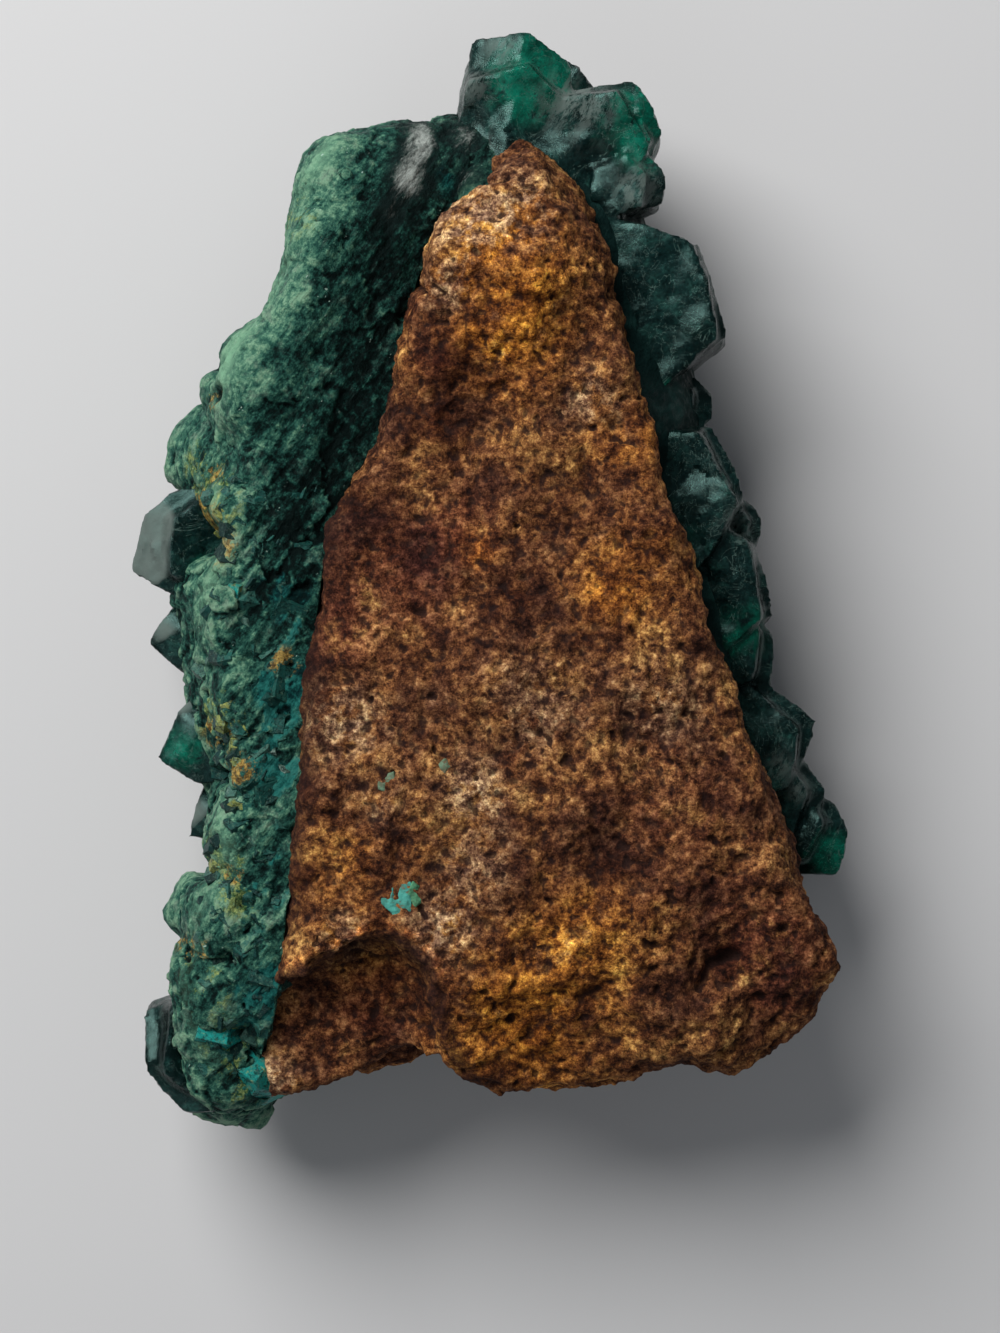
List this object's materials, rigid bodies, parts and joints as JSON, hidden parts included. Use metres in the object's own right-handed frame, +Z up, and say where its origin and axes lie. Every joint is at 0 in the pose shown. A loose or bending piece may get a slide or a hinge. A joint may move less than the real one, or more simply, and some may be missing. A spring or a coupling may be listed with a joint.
{
  "type": "dioptase mineral specimen on matrix",
  "caption": "Wedge of brown sandy matrix rock set in a crust of dark green dioptase, with stout hexagonal crystals round its edge and over its underside.",
  "frame": {"origin": "centre of the bounding box in plan, at the level the crystal tips rest on", "axes": "+Z up, matrix side up; +Y along the specimen towards its narrow end; +X across it, towards its low side"},
  "size_m": [0.0464, 0.0702, 0.0232],
  "materials": {
    "matrix_rock": "matt, sandy, mottled ochre, tan and purple-brown",
    "dioptase": "deep green; vitreous and translucent on crystal faces, matt and granular where massive",
    "turquoise_grain": "bright turquoise, half gloss",
    "dull_grain": "dull grey-green"
  },
  "bodies": {
    "root": {"matrix": "matrix_rock", "dioptase_crust": "dioptase", "turquoise_chip": "turquoise_grain", "green_chip": "turquoise_grain", "left_speck": "dull_grain", "right_speck": "dull_grain"}
  },
  "joints": []
}
